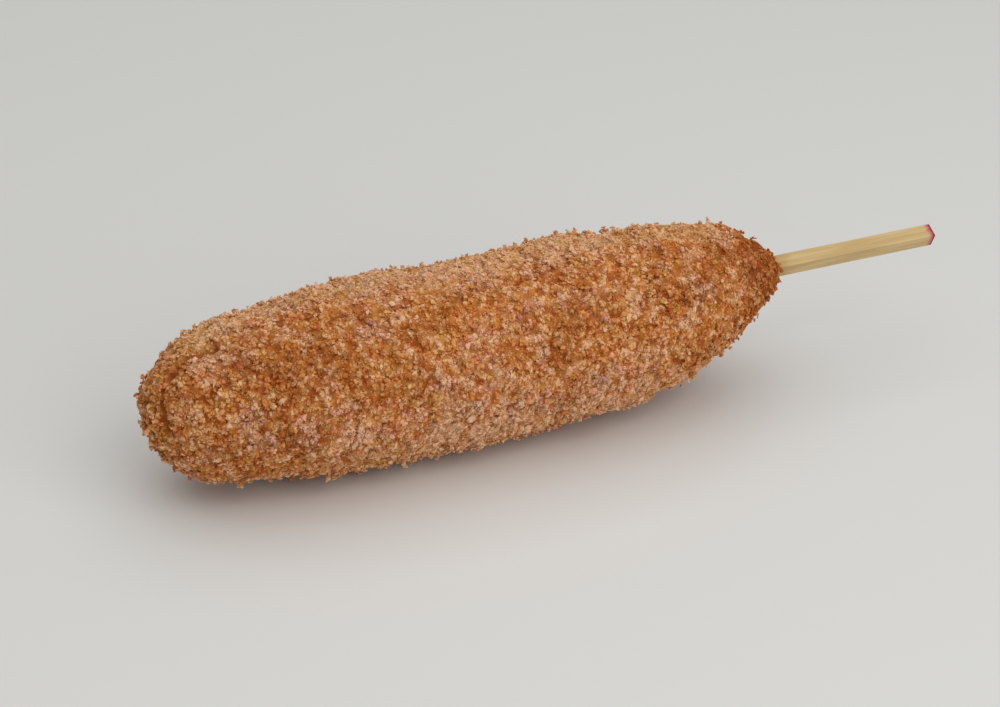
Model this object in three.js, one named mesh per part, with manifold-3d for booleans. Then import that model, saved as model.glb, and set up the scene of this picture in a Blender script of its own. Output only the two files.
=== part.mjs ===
// A crumb-coated corn dog lying on its side, with a square wooden stick.
//
// Units are millimetres and +Z is up. The corn dog lies along X with its blunt end at -X and
// its stick at +X. Z = 0 is the surface that it rests on, and the origin is on that surface
// under the middle of the whole.
//
// There are two pieces: the coated body, which is one uncut solid with a socket for the stick,
// and the stick, which runs through the socket along most of the body's length.

import * as THREE from 'three';
import { mergeVertices } from 'three/addons/utils/BufferGeometryUtils.js';
import Module from 'manifold-3d';

const wasm = await Module();
wasm.setup();

// ---- Driving dimensions, in millimetres and degrees ----

const BODY_LENGTH = 165;
const BODY_RADIUS = 22.8;
const BLUNT_END_LENGTH = 61; // over this length the rounded end grows to the full radius
const BLUNT_END_FULLNESS = 2.55; // exponent of its curve: 2 is an ellipse, more is squarer
const STICK_END_LENGTH = 57; // over this length the body narrows to the stick
const STICK_END_FULLNESS = 1.82;
const STICK_END_LIFT = 5.6; // the taper is mostly underneath, so the axis rises by this much
const LIFT_LENGTH = 62; // over this length of the stick end
const PRESSED_FLAT = 0.3; // depth of crust that its own weight has flattened underneath

const STICK_SIDE = 4;
const STICK_CORNER = 0.25; // radius of its long edges
const STICK_END_EDGE = 0.2; // bevel round its end faces
const STICK_LENGTH = 180;
const STICK_SHOWN = 45; // length outside the body
const STICK_ROLL = 25; // its upper face tips towards -Y
const STICK_SIDESTEP = 0.5; // off the body's axis, towards +Y
const STICK_CLEARANCE = 0.3; // between the stick and the socket's walls

const STATIONS = 46; // rings of facets along the body
const SEGMENTS = 54; // facets round it

// Bulges and dents of the fried coating. Each lies at a distance from the blunt tip and at an
// angle round the axis, from 0 at -Y over 90 at the top to 180 at +Y.
const LUMPS = [
  // along the upper back edge
  { along: 4, angle: 134, height: -0.6, reach: 5 },
  { along: 17, angle: 124, height: 0.7, reach: 6 },
  { along: 32, angle: 122, height: -0.8, reach: 6 },
  { along: 60, angle: 121, height: 0.8, reach: 10 },
  { along: 77, angle: 120, height: -0.6, reach: 5 },
  { along: 106, angle: 119, height: 0.9, reach: 9 },
  { along: 123, angle: 118, height: -1.3, reach: 7 },
  { along: 141, angle: 115, height: -0.5, reach: 8 },
  { along: 152, angle: 108, height: 1.1, reach: 4.5 },
  { along: 158, angle: 102, height: -0.8, reach: 4 },
  // along the lower front edge
  { along: 11, angle: -63, height: 0.9, reach: 6 },
  { along: 31, angle: -58, height: -0.9, reach: 12 },
  { along: 78, angle: -56, height: 0.4, reach: 14 },
  { along: 110, angle: -55, height: -1, reach: 8 },
  { along: 136, angle: -47, height: 1, reach: 13 },
  { along: 158, angle: -38, height: -0.8, reach: 5 },
  // on the upper front
  { along: 18, angle: 70, height: -0.5, reach: 7 },
  { along: 46, angle: 40, height: 0.5, reach: 12 },
  { along: 88, angle: 62, height: -0.5, reach: 11 },
  { along: 128, angle: 30, height: 0.6, reach: 11 },
  // on the back
  { along: 26, angle: 190, height: 0.6, reach: 11 },
  { along: 58, angle: 208, height: -0.7, reach: 12 },
  { along: 92, angle: 186, height: 0.7, reach: 14 },
  { along: 124, angle: 205, height: -0.6, reach: 9 },
  { along: 143, angle: 190, height: 0.8, reach: 9 },
];

// Waves that make the coating uneven all over.
const WAVES = [
  { along: 5, around: 2, height: 0.14, phase: 0.4 },
  { along: 9, around: 3, height: 0.12, phase: 2.1 },
  { along: 14, around: 5, height: 0.09, phase: 4.4 },
];

// ---- The coated body ----

// The radius of the even body at a distance x from its blunt tip.
function radiusAt(x) {
  const before = THREE.MathUtils.clamp(1 - x / BLUNT_END_LENGTH, 0, 1);
  const after = THREE.MathUtils.clamp(1 - (BODY_LENGTH - x) / STICK_END_LENGTH, 0, 1);
  const blunt = (1 - before ** BLUNT_END_FULLNESS) ** (1 / BLUNT_END_FULLNESS);
  const taper = (1 - after ** STICK_END_FULLNESS) ** (1 / STICK_END_FULLNESS);
  return BODY_RADIUS * blunt * taper;
}

// The height of the body's axis, which is level at first and rises towards the stick.
function axisHeightAt(x) {
  const lifted = THREE.MathUtils.smoothstep(x, BODY_LENGTH - LIFT_LENGTH, BODY_LENGTH);
  return BODY_RADIUS - PRESSED_FLAT + STICK_END_LIFT * lifted;
}

// How far the crust stands proud of the even body, at a distance x and an angle in radians.
function unevennessAt(x, angle) {
  let proud = 0;
  for (const lump of LUMPS) {
    const turn = angle - THREE.MathUtils.degToRad(lump.angle);
    const across = BODY_RADIUS * Math.atan2(Math.sin(turn), Math.cos(turn));
    const distance = Math.hypot(x - lump.along, across) / lump.reach;
    proud += lump.height * Math.exp(-distance * distance);
  }
  for (const wave of WAVES) {
    const along = (2 * Math.PI * wave.along * x) / BODY_LENGTH;
    proud += wave.height * Math.sin(along + wave.around * angle + wave.phase);
  }
  return proud;
}

// A lathed profile, with every vertex then moved out to the uneven crust and up to the axis.
function bodyGeometry() {
  const profile = [];
  for (let i = 0; i <= STATIONS; i++) {
    const share = (1 - Math.cos((Math.PI * i) / STATIONS)) / 2; // closer together at both ends
    profile.push(new THREE.Vector2(radiusAt(share * BODY_LENGTH), share * BODY_LENGTH));
  }
  const geometry = new THREE.LatheGeometry(profile, SEGMENTS);
  geometry.rotateZ(-Math.PI / 2); // the lathe's axis, +Y, becomes +X
  const position = geometry.getAttribute('position');
  const vertex = new THREE.Vector3();
  for (let i = 0; i < position.count; i++) {
    vertex.fromBufferAttribute(position, i);
    const radius = Math.hypot(vertex.y, vertex.z);
    const angle = Math.atan2(vertex.z, -vertex.y);
    const fade = Math.min(1, radius / (BODY_RADIUS / 3)); // nothing moves on the axis itself
    const moved = radius + fade * unevennessAt(vertex.x, angle);
    const height = axisHeightAt(vertex.x) + moved * Math.sin(angle);
    position.setXYZ(i, vertex.x, -moved * Math.cos(angle), height);
  }
  return geometry;
}

// ---- The stick ----

// A square with rounded corners, centred on the origin.
function roundedSquare(side, corner) {
  const half = side / 2;
  const inner = half - corner;
  const shape = new THREE.Shape();
  shape.absarc(inner, inner, corner, 0, Math.PI / 2);
  shape.absarc(-inner, inner, corner, Math.PI / 2, Math.PI);
  shape.absarc(-inner, -inner, corner, Math.PI, 1.5 * Math.PI);
  shape.absarc(inner, -inner, corner, 1.5 * Math.PI, 2 * Math.PI);
  return shape;
}

// A square bar along +X that starts at x = 0, grown on every side by a margin.
function barGeometry(length, margin) {
  const geometry = new THREE.ExtrudeGeometry(
    roundedSquare(STICK_SIDE + 2 * margin, STICK_CORNER + margin),
    {
      depth: length - 2 * STICK_END_EDGE,
      bevelThickness: STICK_END_EDGE,
      bevelSize: STICK_END_EDGE,
      bevelOffset: -STICK_END_EDGE,
      bevelSegments: 2,
      curveSegments: 3,
    },
  );
  geometry.translate(0, 0, STICK_END_EDGE);
  geometry.rotateY(Math.PI / 2);
  return geometry;
}

// Puts the stick, or the space that it needs, where the stick lies in the body.
function seat(object) {
  const innerEnd = BODY_LENGTH + STICK_SHOWN - STICK_LENGTH;
  object.position.set(innerEnd, STICK_SIDESTEP, axisHeightAt(BODY_LENGTH));
  object.rotation.x = THREE.MathUtils.degToRad(STICK_ROLL);
}

// ---- Cuts ----

// A closed mesh in its own place, as a solid that manifold-3d can cut.
function solidOf(mesh) {
  mesh.updateMatrixWorld(true);
  const bare = new THREE.BufferGeometry();
  bare.setAttribute('position', mesh.geometry.getAttribute('position').clone());
  bare.setIndex(mesh.geometry.index);
  const merged = mergeVertices(bare.applyMatrix4(mesh.matrixWorld), 1e-3);
  return new wasm.Manifold(
    new wasm.Mesh({
      numProp: 3,
      vertProperties: merged.getAttribute('position').array,
      triVerts: new Uint32Array(merged.index.array),
    }),
  );
}

// A solid as a geometry again.
function geometryOf(solid) {
  const { vertProperties, triVerts } = solid.getMesh();
  const geometry = new THREE.BufferGeometry();
  geometry.setAttribute('position', new THREE.BufferAttribute(vertProperties, 3));
  geometry.setIndex(new THREE.BufferAttribute(triVerts, 1));
  geometry.computeVertexNormals();
  return geometry;
}

// Everything below the surface that the corn dog rests on.
function groundMesh() {
  const depth = BODY_RADIUS;
  const mesh = new THREE.Mesh(new THREE.BoxGeometry(2 * BODY_LENGTH, 4 * BODY_RADIUS, depth));
  mesh.position.set(BODY_LENGTH / 2, 0, -depth / 2);
  return mesh;
}

// The space that the stick needs in the body, with its clearance.
function socketMesh() {
  const mesh = new THREE.Mesh(barGeometry(STICK_LENGTH, STICK_CLEARANCE));
  seat(mesh);
  mesh.position.x -= STICK_CLEARANCE;
  return mesh;
}

// ---- The two pieces ----

function coatedBody() {
  const whole = solidOf(new THREE.Mesh(bodyGeometry()));
  const cut = whole.subtract(solidOf(groundMesh())).subtract(solidOf(socketMesh()));
  const mesh = new THREE.Mesh(
    geometryOf(cut),
    new THREE.MeshStandardMaterial({ color: 0xb9773f, roughness: 0.85, metalness: 0 }),
  );
  mesh.name = 'coated_body';
  return mesh;
}

function stick() {
  const mesh = new THREE.Mesh(
    barGeometry(STICK_LENGTH, 0),
    new THREE.MeshStandardMaterial({ color: 0xcbb47c, roughness: 0.6, metalness: 0 }),
  );
  mesh.name = 'stick';
  seat(mesh);
  return mesh;
}

const cornDog = new THREE.Group();
cornDog.add(coatedBody(), stick());

// The origin goes under the middle of the whole.
const middle = new THREE.Box3().setFromObject(cornDog, true).getCenter(new THREE.Vector3());
cornDog.position.set(-middle.x, -middle.y, 0);

export default cornDog;
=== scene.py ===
"""A corn dog coated in breadcrumbs and dusted with sugar, on a square stick with a red end.

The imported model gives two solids: the coated body and the stick. The body is replaced by a crust
with relief, which carries single crumbs, crumbs in heaps and lumps, flakes and sugar grains. The
stick keeps its solid and gets its grain, its oily stain and its dyed end.

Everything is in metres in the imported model's frame: +X towards the stick's free end, +Z up.
"""

import math

import bmesh
import bpy
import numpy as np
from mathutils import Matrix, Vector, noise


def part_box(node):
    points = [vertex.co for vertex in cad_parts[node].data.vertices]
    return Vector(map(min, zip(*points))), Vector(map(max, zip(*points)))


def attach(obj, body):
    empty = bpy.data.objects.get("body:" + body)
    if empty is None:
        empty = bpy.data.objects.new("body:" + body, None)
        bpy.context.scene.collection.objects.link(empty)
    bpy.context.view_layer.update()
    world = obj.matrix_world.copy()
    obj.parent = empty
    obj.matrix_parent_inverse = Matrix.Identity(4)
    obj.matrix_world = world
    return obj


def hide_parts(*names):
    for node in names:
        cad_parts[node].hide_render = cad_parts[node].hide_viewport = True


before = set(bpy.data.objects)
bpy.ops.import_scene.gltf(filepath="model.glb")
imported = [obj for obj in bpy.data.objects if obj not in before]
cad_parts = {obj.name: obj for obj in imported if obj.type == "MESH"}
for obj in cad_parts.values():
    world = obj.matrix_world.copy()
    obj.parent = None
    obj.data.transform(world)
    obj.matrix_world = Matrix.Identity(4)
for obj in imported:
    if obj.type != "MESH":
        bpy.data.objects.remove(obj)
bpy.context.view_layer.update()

MM = 0.001
BODY = "coated_body"
STICK = "stick"
BODY_LOW, BODY_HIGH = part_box(BODY)
STICK_LOW, STICK_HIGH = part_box(STICK)
BLUNT_TIP = BODY_LOW.x
BODY_RADIUS = (BODY_HIGH.y - BODY_LOW.y) / 2
STICK_AXIS_Y = (STICK_LOW.y + STICK_HIGH.y) / 2
STICK_AXIS_Z = (STICK_LOW.z + STICK_HIGH.z) / 2
STICK_REACH = (STICK_HIGH.z - STICK_LOW.z) / 2
SOCKET_MOUTH = BODY_HIGH.x - 4 * MM  # where the stick comes out of the body's rounded end

# ---- Colours ----


def linear(red, green, blue):
    """A colour given as it shows on screen, from 0 to 255, as Blender's linear RGBA."""
    channels = []
    for value in (red, green, blue):
        share = value / 255
        channels.append(share / 12.92 if share <= 0.04045 else ((share + 0.055) / 1.055) ** 2.4)
    return (*channels, 1.0)


GOLDEN = linear(222, 157, 86)
TAN = linear(236, 186, 130)
YELLOW = linear(214, 154, 68)
RUSSET = linear(206, 122, 52)
RED_BROWN = linear(184, 94, 36)
TOASTED = linear(174, 94, 34)
# The tan of the painted light in the bands along the top and low on the front.
PAINTED_LIGHT_TAN = linear(234, 192, 136)
SUGARED = linear(234, 202, 182)
SUGAR = linear(234, 202, 170)
FADING = np.array([0.46, 0.88, 1.8])  # a paler crumb gains more blue than red
PALEST = linear(238, 190, 150)


def faded(colours, amount):
    """The given colours made paler by an amount, or deeper where the amount is negative."""
    return np.minimum(colours * np.exp(np.asarray(amount)[..., None] * FADING), PALEST[:3])


# ---- What lies where on the body ----

# Each patch lies at a distance from the blunt tip and at an angle round the body, in mm and
# degrees: 0 is the front, -Y, and 90 the top. Its reach is in mm and its strength from 0 to 1.
SUGAR_PATCHES = [
    (17, 68, 5, 0.7),
    (25, 84, 5, 0.4),
    (35, 100, 7, 0.4),
    (57, 95, 8, 0.6),
    (70, 100, 8, 0.6),
    (82, 88, 7, 0.7),
    (100, 86, 5, 0.4),
    (116, 90, 6, 0.4),
    (45, -16, 7, 0.8),
    (60, -6, 4, 0.4),
    (66, -22, 8, 0.8),
    (78, 12, 5, 0.6),
    (80, -24, 9, 0.7),
    (93, -14, 7, 0.5),
    (108, -22, 10, 0.6),
    (40, 172, 10, 0.5),
    (90, 192, 16, 0.5),
    (130, 176, 8, 0.5),
]
TOASTED_PATCHES = [
    (24, 40, 14, 0.35),
    (22, -4, 12, 0.55),
    (45, 50, 10, 0.35),
    (60, 45, 9, 0.35),
    (98, -30, 3, 0.45),
    (4, 5, 4, 0.2),
    (100, 45, 10, 0.2),
    (107, -5, 3, 0.45),
    (132, 45, 12, 0.3),
    (148, 60, 9, 0.3),
    (150, -10, 14, 0.55),
    (60, 215, 14, 0.4),
]

# The ends that are toasted all round: where the toasting starts and where it is full, in mm from
# the blunt tip, and its strength.
TOASTED_ENDS = [(16, 2, 0.2), (146, 160, 0.96)]

# The bands of painted light along the body, along the top where the light falls and low on the
# front where it comes up from the floor: the angle of the middle of each and how far it reaches to
# each side, in degrees, how far from the blunt tip it starts, in mm, and its strength.
PAINTED_LIGHT_BANDS = [(105, 34, 4, 0.6), (-40, 28, 40, 0.3)]
BAND_ENDS = (154, 138)  # where both bands end and where they are still full
BAND_RAMP = 10  # the mm over which a band comes in
BAND_WANDER = [(3, 8), (11, 12)]  # the size of the bends in its edges, in mm, and their degrees

# The creases where the crust folds near its blunt end, as distances and angles along each.
CREASES = [
    [(6, 70), (9, 80), (12, 82), (17, 78)],
    [(3, 50), (2.5, 30), (3, 5)],
]
CREASE_WIDTH = 1.0 * MM

# The flakes that stand out from the rest: each one's distance, angle, size in mm, how far it
# stands out as a share of its size, and colour.
FLAKES = [
    (153, 17, 3.6, 0.05, linear(200, 138, 82)),
    (142, 58, 2.8, 0.1, linear(204, 138, 62)),
    (27, 28, 2.0, 0.2, linear(226, 184, 128)),
    (124, 75, 2.0, 0.1, linear(184, 96, 36)),
    (98, -30, 2.6, 0.1, linear(204, 110, 36)),
    (126, -22, 2.2, 0.1, linear(206, 104, 44)),
    (10, 84, 2.4, 0.2, linear(200, 132, 54)),
    (9, 66, 2.2, 0.1, linear(204, 136, 66)),
    (74, 204, 3.0, 0.1, linear(214, 160, 96)),
    (120, 170, 2.8, 0.1, linear(206, 140, 60)),
]

# The lumps of crumbs that stick out furthest: the distance, angle and height of each, in mm.
LUMPS = [
    (0.5, 0, 2.4),
    (19, -52, 1.9),
    (40, -48, 1.8),
    (58, -46, 2.1),
    (87, -44, 1.7),
    (99, -34, 1.7),
    (122, -44, 1.9),
    (36, 90, 1.7),
    (69, 108, 1.8),
    (150, 100, 1.7),
]


def around(points):
    """How far each point is from the blunt tip, in mm, and its angle round the body, in radians."""
    along = (points[:, 0] - BLUNT_TIP) / MM
    angle = np.arctan2(points[:, 2] - BODY_RADIUS, -points[:, 1])
    return along, angle


def distance_from(points, along, angle):
    """How far each point is, in mm over the body, from a place given by distance and angle."""
    point_along, point_angle = around(points)
    turn = point_angle - math.radians(angle)
    across = BODY_RADIUS / MM * np.arctan2(np.sin(turn), np.cos(turn))
    return np.hypot(point_along - along, across)


def nearest_to(points, along, angle):
    """The index of the point nearest to a place given by distance and angle."""
    return int(distance_from(points, along, angle).argmin())


def patches_at(points, patches):
    """How strongly the given patches mark each point, from 0 to 1."""
    marked = np.zeros(len(points))
    for along, angle, reach, strength in patches:
        distance = distance_from(points, along, angle) / reach
        marked = np.maximum(marked, strength * np.exp(-(distance**2)))
    return marked


def creases_at(points):
    """How deep each point lies in a crease, from 0 to 1."""
    depth = np.zeros(len(points))
    for line in CREASES:
        corners = [points[nearest_to(points, along, angle)] for along, angle in line]
        for start, end in zip(corners, corners[1:]):
            step = end - start
            share = np.clip((points - start) @ step / (step @ step), 0, 1)
            distance = np.linalg.norm(points - start - share[:, None] * step, axis=1)
            depth = np.maximum(depth, np.exp(-((distance / CREASE_WIDTH) ** 2)))
    return depth


SEED_STEP = 17.3  # how far apart two seeds' noise is taken, in features


def noise_at(points, size, seed):
    """Smooth noise from about -1 to 1 at each point, with features of the given size in mm."""
    scaled = points / (size * MM) + seed * SEED_STEP
    return np.array([noise.noise(Vector(point)) for point in scaled])


def smoothstep(low, high, values):
    """How far each value is from low to high, eased in and out, from 0 to 1."""
    share = np.clip((values - low) / (high - low), 0, 1)
    return share * share * (3 - 2 * share)


# ---- Meshes from arrays ----


def faceted_object(name, vertices, triangles):
    """A flat-shaded mesh object from arrays of vertices and triangles."""
    mesh = bpy.data.meshes.new(name)
    mesh.vertices.add(len(vertices))
    mesh.vertices.foreach_set("co", np.asarray(vertices, np.float32).ravel())
    mesh.loops.add(3 * len(triangles))
    mesh.loops.foreach_set("vertex_index", np.asarray(triangles, np.int32).ravel())
    mesh.polygons.add(len(triangles))
    mesh.polygons.foreach_set("loop_start", np.arange(0, 3 * len(triangles), 3, dtype=np.int32))
    mesh.polygons.foreach_set("use_smooth", np.full(len(triangles), False))
    mesh.update(calc_edges=True)
    mesh.validate()
    made = bpy.data.objects.new(name, mesh)
    bpy.context.scene.collection.objects.link(made)
    return made


def paint(made, colours):
    """Gives each vertex of a mesh its own colour."""
    layer = made.data.attributes.new("crust_colour", "FLOAT_COLOR", "POINT")
    rgba = np.ones((len(colours), 4), np.float32)
    rgba[:, :3] = colours
    layer.data.foreach_set("color", rgba.ravel())


def with_modifier(made, kind, **settings):
    """Applies one modifier to a mesh object."""
    modifier = made.modifiers.new(kind, kind)
    for name, value in settings.items():
        setattr(modifier, name, value)
    graph = bpy.context.evaluated_depsgraph_get()
    result = bpy.data.meshes.new_from_object(made.evaluated_get(graph))
    made.modifiers.clear()
    old = made.data
    made.data = result
    bpy.data.meshes.remove(old)


def positions(mesh):
    """Where the vertices of a mesh are, as an array."""
    found = np.empty(3 * len(mesh.vertices), np.float32)
    mesh.vertices.foreach_get("co", found)
    return found.reshape(-1, 3).astype(float)


def normals(mesh):
    """The ways the vertices of a mesh face, as an array."""
    found = np.empty(3 * len(mesh.vertices), np.float32)
    mesh.vertex_normals.foreach_get("vector", found)
    return found.reshape(-1, 3).astype(float)


# ---- The crust ----

WELD = 0.001 * MM
CRUST_VOXEL = 1.12 * MM  # as fine as keeps the crust under 200,000 triangles
CRUST_SUNK = 0.7 * MM  # the crumbs on it reach back out to the body's true outline
CRUST_RELIEF = [(11, 0.35), (5, 0.4), (1.1, 0.3)]  # size of the bumps and their height, in mm
KNOB_SIZE = 2.0 * MM  # the round knobs of crumbs that crowd all over the crust
KNOB_HEIGHT = 1.0 * MM
KNOB_MEAN = 0.6  # about how high the knobs are on average, as a share of their height
KNOB_REACH = 0.75  # how far a knob spreads from its middle, as a share of its size
KNOB_WOBBLE = 0.35  # how far the knobs are bent out of round, as a share of their size
GROUND_GAP = 0.25 * MM
SOCKET_REACH = 1.28 * STICK_REACH  # far enough from the stick's axis to take in its socket
CRUST_PAINTED_LIGHT = 0.6  # painted light: how much paler the crust is on top of a knob than beside it
CRUST_PAINTED_SHADE = 0.75  # painted shade: how much deeper in colour the crust is beside the knobs and in the creases


def solid_body():
    """A copy of the body's CAD mesh with its socket for the stick filled in."""
    work = bmesh.new()
    work.from_mesh(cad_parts[BODY].data)
    bmesh.ops.remove_doubles(work, verts=work.verts, dist=WELD)

    def by_the_stick(vertex):
        return math.hypot(vertex.co.y - STICK_AXIS_Y, vertex.co.z - STICK_AXIS_Z) < SOCKET_REACH

    socket = [face for face in work.faces if all(by_the_stick(v) for v in face.verts)]
    bmesh.ops.delete(work, geom=socket, context="FACES")
    bmesh.ops.holes_fill(work, edges=work.edges, sides=0)
    bmesh.ops.recalc_face_normals(work, faces=work.faces)
    mesh = bpy.data.meshes.new("crust")
    work.to_mesh(mesh)
    work.free()
    made = bpy.data.objects.new("crust", mesh)
    bpy.context.scene.collection.objects.link(made)
    return made


def knobs_at(points):
    """The height of the knobs at each point, from 0 in the gaps between them to 1."""
    wobble = np.stack([noise_at(points, 1.5, seed) for seed in (61, 62, 63)], 1)
    scaled = points / KNOB_SIZE + KNOB_WOBBLE * wobble
    off_middle = np.array([noise.voronoi(Vector(point))[0][0] for point in scaled])
    return np.clip(1 - (off_middle / KNOB_REACH) ** 2, 0, 1)


def make_crust():
    """The crust, and how high each vertex stands: 1 on a knob, 0 beside it, -1 in a crease."""
    crust = solid_body()
    with_modifier(crust, "REMESH", mode="VOXEL", voxel_size=CRUST_VOXEL)
    with_modifier(crust, "SUBSURF", levels=1)
    place = positions(crust.data)
    outward = normals(crust.data)
    creases = creases_at(place)
    knobs = knobs_at(place) * (1 - creases) - creases
    raised = (knobs - KNOB_MEAN) * KNOB_HEIGHT - CRUST_SUNK
    for seed, (size, height) in enumerate(CRUST_RELIEF):
        raised += height * MM * noise_at(place, size, seed)
    place += outward * raised[:, None]
    place[:, 2] = np.maximum(place[:, 2], GROUND_GAP)
    crust.data.vertices.foreach_set("co", place.astype(np.float32).ravel())
    crust.data.polygons.foreach_set("use_smooth", np.full(len(crust.data.polygons), True))
    crust.data.update()
    # Painted light on the knobs, painted shade beside them and deepest in the creases.
    fade = painted_shade_strength_at(place) * (CRUST_PAINTED_LIGHT * knobs - CRUST_PAINTED_SHADE)
    paint(crust, faded(crust_colours(place), fade))
    return crust, knobs


# Colours laid over one another: each has its patch size in mm, how wide it spreads, from -1 for
# nowhere to 1 for everywhere, and its strength.
LAYERS = [
    (TAN, 1.8, 0.0, 0.8),
    (YELLOW, 2.6, -0.3, 0.6),
    (RUSSET, 2.6, 0.05, 0.85),
    (RED_BROWN, 2.2, -0.3, 0.7),
]
SHADING = [(1.3, 0.52), (3.0, 0.36), (8, 0.14)]  # patch size in mm, and how much it lightens
TOAST_STRENGTH = 0.8
SUGAR_STRENGTH = 0.75
TOAST_DEEPENS = 0.2
BAND_EVENS_OUT = 0.95  # how far a full band of painted light does away with the painted shade of the gaps


def crust_colours(points):
    """The coating's colour at each point, by its layers, toasting, bands of painted light and
    sugar.
    """
    colours = np.tile(GOLDEN[:3], (len(points), 1))
    for seed, (colour, size, spread, strength) in enumerate(LAYERS):
        share = strength * smoothstep(-0.1, 0.3, noise_at(points, size, 21 + seed) + spread)
        colours += (np.array(colour[:3]) - colours) * share[:, None]
    toast = toast_at(points)
    colours += (np.array(TOASTED[:3]) - colours) * TOAST_STRENGTH * toast[:, None]
    # Painted light: paler bands along the top, where the light falls, and low on the front.
    colours += (np.array(PAINTED_LIGHT_TAN[:3]) - colours) * painted_light_at(points)[:, None]
    colours += (np.array(SUGARED[:3]) - colours) * SUGAR_STRENGTH * sugar_at(points)[:, None]
    shading = sum(much * noise_at(points, size, 41 + size) for size, much in SHADING)
    return faded(colours, shading - TOAST_DEEPENS * toast)


def toast_at(points):
    """How toasted the crust is, from 0 to 1: most by the stick."""
    along, _angle = around(points)
    toast = 0.4 * smoothstep(0.0, 0.5, noise_at(points, 9, 11))
    for start, full, strength in TOASTED_ENDS:
        toast += strength * smoothstep(start, full, along)
    return np.clip(toast + patches_at(points, TOASTED_PATCHES), 0, 1)


def painted_light_at(points):
    """The painted light on each point, from 0 to 1, in bands along the top and low on the front."""
    along, angle = around(points)
    wander = sum(
        degrees * noise_at(points, size, 51 + seed)
        for seed, (size, degrees) in enumerate(BAND_WANDER)
    )
    tan = np.zeros(len(points))
    for middle, reach, start, strength in PAINTED_LIGHT_BANDS:
        off_middle = np.abs(np.degrees(angle) - middle) + wander
        across = smoothstep(reach, reach / 3, off_middle)
        tan += strength * across * smoothstep(start, start + BAND_RAMP, along)
    return tan * smoothstep(*BAND_ENDS, along)


def painted_shade_strength_at(points):
    """How strongly painted shade darkens the gaps and painted light the tips: less in the bands."""
    return 1 - BAND_EVENS_OUT * painted_light_at(points)


def sugar_at(points):
    """How sugared the crust is, from 0 to 1: in ragged patches, and not at its very ends."""
    patchy = smoothstep(0.15, 0.5, noise_at(points, 7, 5) + 0.4 * noise_at(points, 2.5, 6))
    ragged = smoothstep(-0.5, 0.5, noise_at(points, 2.2, 7))
    along, _angle = around(points)
    sugared = np.clip(0.3 * patchy + patches_at(points, SUGAR_PATCHES) * ragged, 0, 1)
    return sugared * smoothstep(1, 12, along) * smoothstep(156, 144, along)


# ---- The shapes of crumbs ----

# Each shape gives its corners on a unit ball, its triangles, and the net that unfolds them onto
# the unit square. A splinter has a quarter of the square for each face. The other shapes have
# their top pole in its middle and their bottom pole spread round its rim.

RIM = [(1, 1), (0, 1), (0, 0), (1, 0)]
CELL_MARGIN = 0.06  # the empty rim of each shape's square, as a share of its side


def splinter():
    """A tetrahedron."""
    corners = np.array([(1, 1, 1), (1, -1, -1), (-1, 1, -1), (-1, -1, 1)]) / math.sqrt(3)
    triangles = [(0, 1, 2), (0, 2, 3), (0, 3, 1), (1, 3, 2)]
    net = [((0.5, 0.5), RIM[side], RIM[(side + 1) % 4]) for side in range(4)]
    return corners, np.array(triangles), np.array(net)


def shard():
    """An octahedron."""
    corners = [(1, 0, 0), (0, 1, 0), (-1, 0, 0), (0, -1, 0), (0, 0, 1), (0, 0, -1)]
    ring = [(1, 0.5), (0.5, 1), (0, 0.5), (0.5, 0)]
    triangles = []
    net = []
    for here in range(4):
        there = (here + 1) % 4
        triangles.append((here, there, 4))
        net.append((ring[here], ring[there], (0.5, 0.5)))
        triangles.append((there, here, 5))
        net.append((ring[there], ring[here], RIM[here]))
    return np.array(corners, float), np.array(triangles), np.array(net)


def chip(subdivisions):
    """An icosahedron, or a rounder shape made from it by dividing its faces."""
    work = bmesh.new()
    bmesh.ops.create_icosphere(work, subdivisions=subdivisions, radius=1)
    corners = np.array([v.co for v in work.verts])
    triangles = np.array([[v.index for v in face.verts] for face in work.faces])
    work.free()
    net = []
    for triangle in corners[triangles]:
        flat = np.hypot(triangle[:, 0], triangle[:, 1])
        at_pole = flat < 1e-6
        heading = triangle[:, :2] / np.where(at_pole, 1, flat)[:, None]
        middle = heading[~at_pole].sum(0)
        heading[at_pole] = middle / np.linalg.norm(middle)
        from_top = np.arccos(np.clip(triangle[:, 2], -1, 1)) / math.pi
        net.append(0.5 + 0.5 * from_top[:, None] * heading)
    return corners, triangles, np.array(net)


SPLINTER = splinter()
SHARD = shard()
CHIP = chip(1)
FLAKE = chip(2)


def lay_out(made, net):
    """Gives each copy of a shape its own square in a grid, so that each keeps its own colours."""
    count = len(made.data.polygons) // len(net)
    columns = math.ceil(math.sqrt(count))
    cell = np.arange(count)
    corner = np.stack([cell % columns, cell // columns], 1)[:, None, None]
    spread = (corner + CELL_MARGIN + (1 - 2 * CELL_MARGIN) * net[None]) / columns
    layer = made.data.uv_layers.new(name="OFBake")
    layer.uv.foreach_set("vector", spread.astype(np.float32).ravel())


# ---- Where the crumbs stand ----

OVERDRAWN = 3  # points drawn for each one wanted, as many are then left out
IN_GAPS = 0.4  # how thickly crumbs lie in the gaps, as a share of how thickly on the knobs
STICK_MARGIN = 0.3 * MM
HEAP_STEP = 0.34 * MM
HEAP_LEAN = 0.7  # how much of its lean a crumb in a heap passes on to the next one up
LIFT_PER_MM = 0.4  # painted light: a mm up a heap makes a crumb as pale as this share of a knob's height does
LIFT_LIMIT = 1.2  # the mm above which a crumb gets no more painted light


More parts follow.
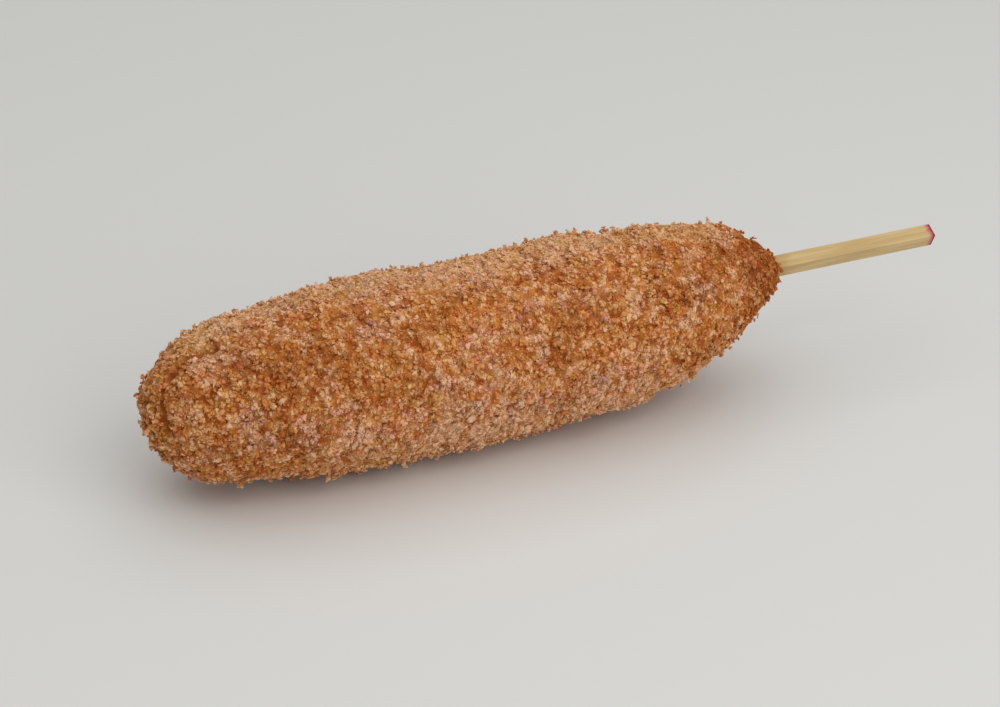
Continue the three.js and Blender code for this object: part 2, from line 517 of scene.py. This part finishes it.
class Ground:
    """The surface that crumbs stand on, sampled at random."""

    def __init__(self, made, knobs):
        self.knobs = knobs
        made.data.calc_loop_triangles()
        corners = np.empty(3 * len(made.data.loop_triangles), np.int32)
        made.data.loop_triangles.foreach_get("vertices", corners)
        self.place = positions(made.data)
        self.outward = normals(made.data)
        self.corners = corners.reshape(-1, 3)
        a, b, c = (self.place[self.corners[:, k]] for k in range(3))
        self.area = np.linalg.norm(np.cross(b - a, c - a), axis=1) / 2

    def scatter(self, count, rng):
        """Random points all over the surface, the ways they face and their height on a knob."""
        chosen = rng.choice(len(self.area), count, p=self.area / self.area.sum())
        u = np.sqrt(rng.random(count))
        v = rng.random(count)
        weights = np.stack([1 - u, u * (1 - v), u * v], 1)[:, :, None]
        corners = self.corners[chosen]
        place = (self.place[corners] * weights).sum(1)
        outward = (self.outward[corners] * weights).sum(1)
        height = (self.knobs[corners] * weights[:, :, 0]).sum(1)
        return place, outward / np.linalg.norm(outward, axis=1)[:, None], height


def random_turns(count, rng):
    """Random rotation matrices."""
    quaternions = rng.normal(size=(4, count))
    w, x, y, z = quaternions / np.linalg.norm(quaternions, axis=0)
    return np.stack(
        [
            np.stack([1 - 2 * (y * y + z * z), 2 * (x * y - z * w), 2 * (x * z + y * w)], 1),
            np.stack([2 * (x * y + z * w), 1 - 2 * (x * x + z * z), 2 * (y * z - x * w)], 1),
            np.stack([2 * (x * z - y * w), 2 * (y * z + x * w), 1 - 2 * (x * x + y * y)], 1),
        ],
        1,
    )


def clear_of_stick(place):
    """Whether each point lies clear of where the stick comes out."""
    off = np.hypot(place[:, 1] - STICK_AXIS_Y, place[:, 2] - STICK_AXIS_Z)
    return (off > STICK_REACH + STICK_MARGIN) | (place[:, 0] < SOCKET_MOUTH)


def scattered(ground, count, rng):
    """Points all over the crust, denser on its knobs."""
    place, outward, height = ground.scatter(count * OVERDRAWN, rng)
    wanted = IN_GAPS + (1 - IN_GAPS) * height
    keep = clear_of_stick(place) & (rng.random(len(place)) < wanted)
    return neighbours_together(place[keep][:count], outward[keep][:count], height[keep][:count])


def neighbours_together(place, outward, height):
    """The same points in an order that keeps neighbours near each other in a square grid."""
    along, angle = around(place)
    band = np.floor(along / along.max() * math.sqrt(len(place)))
    order = np.lexsort((angle, band))
    return place[order], outward[order], height[order]


def heaped(spots, in_each, tall, rng):
    """Points in heaps at the given spots, each heap climbing to its own height in mm.

    Every point in a heap is a short step away from the one before, so that its crumbs touch.
    """
    place, outward, height = spots
    offset = np.zeros_like(place)
    heaps = []
    for raised in np.linspace(0, tall, in_each):
        sideways = rng.normal(size=place.shape)
        sideways -= outward * (sideways * outward).sum(1)[:, None]
        sideways *= HEAP_STEP / np.linalg.norm(sideways, axis=1)[:, None]
        offset = HEAP_LEAN * offset + sideways
        # Crumbs higher up a heap get more painted light.
        lifted = height + LIFT_PER_MM * np.minimum(raised, LIFT_LIMIT)
        heaps.append((place + offset + outward * raised[:, None] * MM, outward, lifted))
    return neighbours_together(*(np.concatenate(part) for part in zip(*heaps)))


# ---- Crumbs ----

BUMPS = 0.35  # how far a shape's corners move in or out, as a share of its size
LOWEST = 0.05 * MM  # no crumb reaches further down towards the floor
CRUMB_TIP_LIGHT = 0.65  # painted light: how much paler a crumb's tip is than its foot
CRUMB_FOOT_SHADE = 0.5  # painted shade: how much deeper in colour its foot is
KNOB_TOP_LIGHT = 0.4  # painted light: how much paler a crumb is on top of a knob than in the gaps beside it
CRUMB_CONTRAST = 0.11  # how much one crumb differs from the next


def make_crumbs(name, shape, spots, size, stretch, stand, rng, flat=0.7, spread=0.22, tint=None):
    """Crumbs as one mesh of distorted copies of one shape, standing at the given spots.

    Their size is in mm. Each is stretched its own way within the limits of stretch, and flattened
    against the crust to the share flat of its height. It stands out by the share stand of its
    size, which is one number for each crumb or limits to draw it from. How much the sizes vary is
    spread. The crumbs have the colour of the crust, or the tint given.
    """
    template, template_triangles, net = shape
    place, outward, stood = spots
    count = len(place)
    sizes = size * MM * np.exp(spread * rng.normal(size=count))
    stretched = rng.uniform(*stretch, size=(count, 1, 3))
    bumps = 1 + BUMPS * rng.uniform(-1, 1, size=(count, len(template), 1))
    shapes = template[None] * bumps * stretched * sizes[:, None, None] / 2
    turned = np.einsum("nij,nkj->nki", random_turns(count, rng), shapes)
    lift = np.einsum("nkj,nj->nk", turned, outward)
    turned -= (1 - flat) * lift[:, :, None] * outward[:, None]
    raised = sizes * (rng.uniform(*stand, size=count) if isinstance(stand, tuple) else stand)
    corners = place[:, None] + outward[:, None] * raised[:, None, None] + turned
    corners[:, :, 2] = np.maximum(corners[:, :, 2], LOWEST)
    triangles = template_triangles[None] + len(template) * np.arange(count)[:, None, None]
    made = faceted_object(name, corners.reshape(-1, 3), triangles.reshape(-1, 3))
    lay_out(made, net)
    own = crust_colours(place) if tint is None else tint
    height = smoothstep(-0.5, 0.5, lift / sizes[:, None])
    # Painted light on each crumb's tip and on the knobs, painted shade at its foot and in the gaps.
    fade = CRUMB_TIP_LIGHT * height - CRUMB_FOOT_SHADE + KNOB_TOP_LIGHT * stood[:, None]
    fade *= painted_shade_strength_at(place)[:, None]
    fade += CRUMB_CONTRAST * rng.normal(size=(count, 1))
    paint(made, faded(own[:, None], fade).reshape(-1, 3))
    return made


# ---- Materials ----


def new_material(name):
    """A new material, its node tree and its shader."""
    material = bpy.data.materials.new(name)
    material.use_nodes = True
    tree = material.node_tree
    shader = tree.nodes["Principled BSDF"]
    return material, tree, shader


def crust_material(name, roughness, specular):
    """A material with the colours painted on its piece, its node tree and its shader."""
    material, tree, shader = new_material(name)
    colour = tree.nodes.new("ShaderNodeAttribute")
    colour.attribute_name = "crust_colour"
    tree.links.new(colour.outputs["Color"], shader.inputs["Base Color"])
    shader.inputs["Roughness"].default_value = roughness
    shader.inputs["Specular IOR Level"].default_value = specular
    return material, tree, shader


def add_bump(tree, shader, size, depth):
    """Roughens a material with noise of the given size and depth in mm."""
    place = tree.nodes.new("ShaderNodeTexCoord")
    grain = tree.nodes.new("ShaderNodeTexNoise")
    grain.inputs["Scale"].default_value = 1 / (size * MM)
    grain.inputs["Detail"].default_value = 3
    bump = tree.nodes.new("ShaderNodeBump")
    bump.inputs["Distance"].default_value = depth * MM
    tree.links.new(place.outputs["Object"], grain.inputs["Vector"])
    tree.links.new(grain.outputs["Fac"], bump.inputs["Height"])
    tree.links.new(bump.outputs["Normal"], shader.inputs["Normal"])


def share_between(tree, value, low, high):
    """How far a value is from low to high, from 0 to 1."""
    node = tree.nodes.new("ShaderNodeMapRange")
    node.interpolation_type = "SMOOTHSTEP"
    node.inputs["From Min"].default_value = low
    node.inputs["From Max"].default_value = high
    tree.links.new(value, node.inputs["Value"])
    return node.outputs["Result"]


def grain_along(tree, place, along, across, detail):
    """Noise drawn out along X, with features of the given sizes in mm."""
    stretch = tree.nodes.new("ShaderNodeMapping")
    stretch.inputs["Scale"].default_value = (1 / (along * MM), 1 / (across * MM), 1 / (across * MM))
    grain = tree.nodes.new("ShaderNodeTexNoise")
    grain.inputs["Scale"].default_value = 1
    grain.inputs["Detail"].default_value = detail
    tree.links.new(place, stretch.inputs["Vector"])
    tree.links.new(stretch.outputs["Vector"], grain.inputs["Vector"])
    return grain.outputs["Fac"]


def mixed(tree, share, first, second):
    """A colour between two others, each a colour or a socket."""
    node = tree.nodes.new("ShaderNodeMix")
    node.data_type = "RGBA"
    tree.links.new(share, node.inputs["Factor"])
    # Inputs 6 and 7 and output 2 are the node's colours.
    for socket, colour in ((node.inputs[6], first), (node.inputs[7], second)):
        if isinstance(colour, bpy.types.NodeSocket):
            tree.links.new(colour, socket)
        else:
            socket.default_value = colour
    return node.outputs[2]


def scaled_by(tree, value, factor):
    """A value times a number."""
    node = tree.nodes.new("ShaderNodeMath")
    node.operation = "MULTIPLY"
    tree.links.new(value, node.inputs[0])
    node.inputs[1].default_value = factor
    return node.outputs[0]


def shifted_by(tree, distance, grain, depth):
    """A distance with noise of the given depth added, for edges that aren't straight."""
    node = tree.nodes.new("ShaderNodeMath")
    node.operation = "MULTIPLY_ADD"
    tree.links.new(grain, node.inputs[0])
    node.inputs[1].default_value = depth
    tree.links.new(distance, node.inputs[2])
    return node.outputs[0]


WOOD_PALE = linear(213, 185, 131)
WOOD_DARK = linear(198, 166, 112)
WOOD_OILED = linear(172, 134, 80)
DYE_PINK = linear(204, 106, 100)
DYE_RED = linear(140, 34, 50)
OILED_LENGTH = 7 * MM
OIL_BLEED = 8 * MM  # how unevenly the oil soaks along the stick
OIL_STRENGTH = 0.7
PINK_LENGTH = 2.0 * MM
RED_LENGTH = 0.8 * MM
DYE_BLEED = 1.2 * MM  # how unevenly the dye soaks along the grain
STREAK_DEPTH = 0.08 * MM


def stick_material():
    """Pale wood, oily by the crust, with its free end dipped in red dye."""
    material, tree, shader = new_material("stick_wood")
    place = tree.nodes.new("ShaderNodeTexCoord").outputs["Object"]
    axes = tree.nodes.new("ShaderNodeSeparateXYZ")
    tree.links.new(place, axes.inputs["Vector"])
    along = axes.outputs["X"]
    streaks = grain_along(tree, place, 20, 1.3, 2)
    blotches = grain_along(tree, place, 5, 2.5, 2)
    wood = mixed(tree, share_between(tree, streaks, 0.35, 0.65), WOOD_DARK, WOOD_PALE)
    soaked = shifted_by(tree, along, blotches, -OIL_BLEED)
    oiled = share_between(tree, soaked, SOCKET_MOUTH + OILED_LENGTH, SOCKET_MOUTH - 2 * MM)
    wood = mixed(tree, scaled_by(tree, oiled, OIL_STRENGTH), wood, WOOD_OILED)
    dyed = shifted_by(tree, along, grain_along(tree, place, 2.5, 0.6, 2), DYE_BLEED)
    end = STICK_HIGH.x + DYE_BLEED / 2
    pink = share_between(tree, dyed, end - PINK_LENGTH, end - RED_LENGTH)
    wood = mixed(tree, pink, wood, DYE_PINK)
    red = share_between(tree, dyed, end - RED_LENGTH, end - RED_LENGTH / 2)
    wood = mixed(tree, red, wood, DYE_RED)
    tree.links.new(wood, shader.inputs["Base Color"])
    shader.inputs["Roughness"].default_value = 0.55
    shader.inputs["Specular IOR Level"].default_value = 0.35
    bump = tree.nodes.new("ShaderNodeBump")
    bump.inputs["Distance"].default_value = STREAK_DEPTH
    tree.links.new(streaks, bump.inputs["Height"])
    tree.links.new(bump.outputs["Normal"], shader.inputs["Normal"])
    return material


def dress(made, material):
    """Gives a piece its material and the body that it rides on."""
    made.data.materials.clear()
    made.data.materials.append(material)
    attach(made, "root")


# ---- The object ----

# How many crumbs there are of each kind. The mounds hold about as many as lie singly.
LARGE = 3500
SMALL = 23500
FINE = 47000
IN_MOUND = 8
MOUNDS = SMALL // IN_MOUND
MOUND_HEIGHTS = (0.4, 1.2)  # mm
IN_LUMP = 20
MORE_LUMPS = 170  # besides the LUMPS
LUMP_HEIGHTS = (1.2, 2.0)  # mm
STRETCH = (0.5, 1.4)  # the least and most that a crumb is stretched each way
STAND = (-0.1, 0.2)  # the least and most that it stands out, as a share of its size
SUGAR_SHARE = 0.4  # the share of crumbs that carry a grain of sugar where the sugar is thickest
STRAY_SUGAR = 0.12  # how thick the sugar is outside its patches, from 0 to 1


def make_coating(ground, look, rng):
    """The crumbs all over the crust. Returns the spots of those in mounds and of the small ones."""
    feet = scattered(ground, MOUNDS, rng)
    mounds = heaped(feet, IN_MOUND, rng.uniform(*MOUND_HEIGHTS, MOUNDS), rng)
    small = scattered(ground, SMALL, rng)
    large = scattered(ground, LARGE, rng)
    fine = scattered(ground, FINE, rng)
    # Each kind's size is in mm.
    for name, shape, spots, size, stretch, stand in (
        ("crumbs_large", CHIP, large, 1.1, (0.6, 1.3), (-0.1, 0.15)),
        ("crumbs_mounds", SHARD, mounds, 0.78, STRETCH, STAND),
        ("crumbs_small", SHARD, small, 0.78, STRETCH, STAND),
        ("crumbs_fine", SPLINTER, fine, 0.8, STRETCH, (-0.1, 0.28)),
    ):
        dress(make_crumbs(name, shape, spots, size, stretch, stand, rng), look)
    return mounds, small


def make_flakes(ground, look, rng):
    """The larger flakes, each in its own place, size and colour."""
    chosen = [nearest_to(ground.place, along, angle) for along, angle, *_rest in FLAKES]
    spots = (ground.place[chosen], ground.outward[chosen], np.zeros(len(FLAKES)))
    flakes = make_crumbs(
        "flakes",
        FLAKE,
        spots,
        np.array([size for _along, _angle, size, _stand, _colour in FLAKES]),
        (0.5, 1.1),
        np.array([stand for _along, _angle, _size, stand, _colour in FLAKES]),
        rng,
        flat=0.5,
        spread=0.0,
        tint=np.array([colour[:3] for *_rest, colour in FLAKES]),
    )
    dress(flakes, look)


def make_sugar(carriers, look, rng):
    """Grains of sugar on some of the crumbs, more of them where the crust is sugared."""
    place = carriers[0]
    sugary = rng.random(len(place))
    crowding = (STRAY_SUGAR + (1 - STRAY_SUGAR) * sugar_at(place)) * (1 - toast_at(place))
    chosen = sugary < SUGAR_SHARE * crowding
    spots = neighbours_together(*(values[chosen] for values in carriers))
    tint = np.tile(SUGAR[:3], (len(spots[0]), 1))
    grains = make_crumbs(
        "sugar_grains", SPLINTER, spots, 0.4, (0.7, 1.2), (0.5, 0.9), rng, flat=1.0, tint=tint
    )
    dress(grains, look)


def make_lumps(ground, look, rng):
    """The lumps of crumbs that stick out furthest: the LUMPS and some more at random."""
    chosen = [nearest_to(ground.place, along, angle) for along, angle, _height in LUMPS]
    placed = (ground.place[chosen], ground.outward[chosen], ground.knobs[chosen])
    more = scattered(ground, MORE_LUMPS, rng)
    feet = [np.concatenate(pair) for pair in zip(placed, more)]
    placed_heights = [height for *_rest, height in LUMPS]
    heights = np.append(placed_heights, rng.uniform(*LUMP_HEIGHTS, MORE_LUMPS))
    spots = heaped(feet, IN_LUMP, heights, rng)
    dress(make_crumbs("crumbs_lumps", SHARD, spots, 0.76, STRETCH, STAND, rng), look)


rng = np.random.default_rng(7)
crust, knobs = make_crust()
crust_look, crust_tree, crust_shader = crust_material("fried_crust", 0.6, 0.2)
add_bump(crust_tree, crust_shader, 0.9, 0.5)
dress(crust, crust_look)
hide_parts(BODY)

ground = Ground(crust, knobs)
crumb_look, *_rest = crust_material("fried_crumbs", 0.65, 0.18)
sugar_look, *_rest = crust_material("sugar_grains", 0.5, 0.4)
mounds, small = make_coating(ground, crumb_look, rng)
make_flakes(ground, crumb_look, rng)
make_sugar([np.concatenate(pair) for pair in zip(mounds, small)], sugar_look, rng)
make_lumps(ground, crumb_look, rng)

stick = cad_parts[STICK]
stick.data.materials.clear()
stick.data.materials.append(stick_material())

# ---- Camera, floor and light ----

# Where the camera stands, seen from the point that it looks at: an azimuth of 0 looks along +Y,
# and the angles are in degrees.
VIEW_AZIMUTH = -22.86
VIEW_ELEVATION = 30.1
VIEW_DISTANCE = 615 * MM
VIEW_MIDDLE = (-14.81 * MM, 0, 19.76 * MM)
VIEW_SENSOR = 36  # mm
VIEW_LENS = 91.08  # mm
VIEW_SHIFT = -0.0015  # as a share of the picture's width

FLOOR_REACH = 3  # metres from the middle to each side
FLOOR_COLOUR = linear(230, 230, 227)

# Each light: where it stands, the length of its side in metres, its power in watts, its colour.
LIGHTS = {
    "key": ((0.0, 0.1, 1.2), 2.0, 11.5, (1, 0.99, 0.97)),
    "fill": ((0.36, -0.95, 0.68), 1.2, 7.4, (1, 1, 1)),
}
WORLD_COLOUR = (0.97, 0.98, 1.0, 1)
WORLD_STRENGTH = 0.2


def make_camera():
    """A long-lens camera above the front of the corn dog, on the side of its blunt end."""
    azimuth = math.radians(VIEW_AZIMUTH)
    elevation = math.radians(VIEW_ELEVATION)
    away = Vector((math.sin(azimuth), -math.cos(azimuth), math.tan(elevation))).normalized()
    camera = bpy.data.objects.new("camera", bpy.data.cameras.new("camera"))
    bpy.context.scene.collection.objects.link(camera)
    camera.location = Vector(VIEW_MIDDLE) + away * VIEW_DISTANCE
    camera.rotation_euler = (-away).to_track_quat("-Z", "Y").to_euler()
    camera.data.sensor_width = VIEW_SENSOR
    camera.data.lens = VIEW_LENS
    camera.data.shift_x = VIEW_SHIFT
    camera.data.clip_start = 0.01
    camera.data.clip_end = 20
    bpy.context.scene.camera = camera


def make_floor():
    """A plain pale floor."""
    sides = ((-1, -1), (1, -1), (1, 1), (-1, 1))
    corners = [(x * FLOOR_REACH, y * FLOOR_REACH, 0) for x, y in sides]
    mesh = bpy.data.meshes.new("floor")
    mesh.from_pydata(corners, [], [(0, 1, 2, 3)])
    floor = bpy.data.objects.new("floor", mesh)
    bpy.context.scene.collection.objects.link(floor)
    material, _tree, shader = new_material("floor")
    shader.inputs["Base Color"].default_value = FLOOR_COLOUR
    shader.inputs["Roughness"].default_value = 0.5
    mesh.materials.append(material)


def add_light(name, place, size, watts, colour):
    """A soft square light that faces the corn dog."""
    lamp = bpy.data.lights.new(name, "AREA")
    lamp.shape = "SQUARE"
    lamp.size = size
    lamp.energy = watts
    lamp.color = colour
    made = bpy.data.objects.new(name, lamp)
    bpy.context.scene.collection.objects.link(made)
    made.location = place
    made.rotation_euler = (-Vector(place)).to_track_quat("-Z", "Y").to_euler()


def make_light():
    """Soft light from above and from the front, and a little from all round."""
    world = bpy.data.worlds.new("studio")
    bpy.context.scene.world = world
    world.use_nodes = True
    background = world.node_tree.nodes["Background"]
    background.inputs["Color"].default_value = WORLD_COLOUR
    background.inputs["Strength"].default_value = WORLD_STRENGTH
    for name, light in LIGHTS.items():
        add_light(name, *light)
    bpy.context.scene.view_settings.view_transform = "Standard"


make_camera()
make_floor()
make_light()
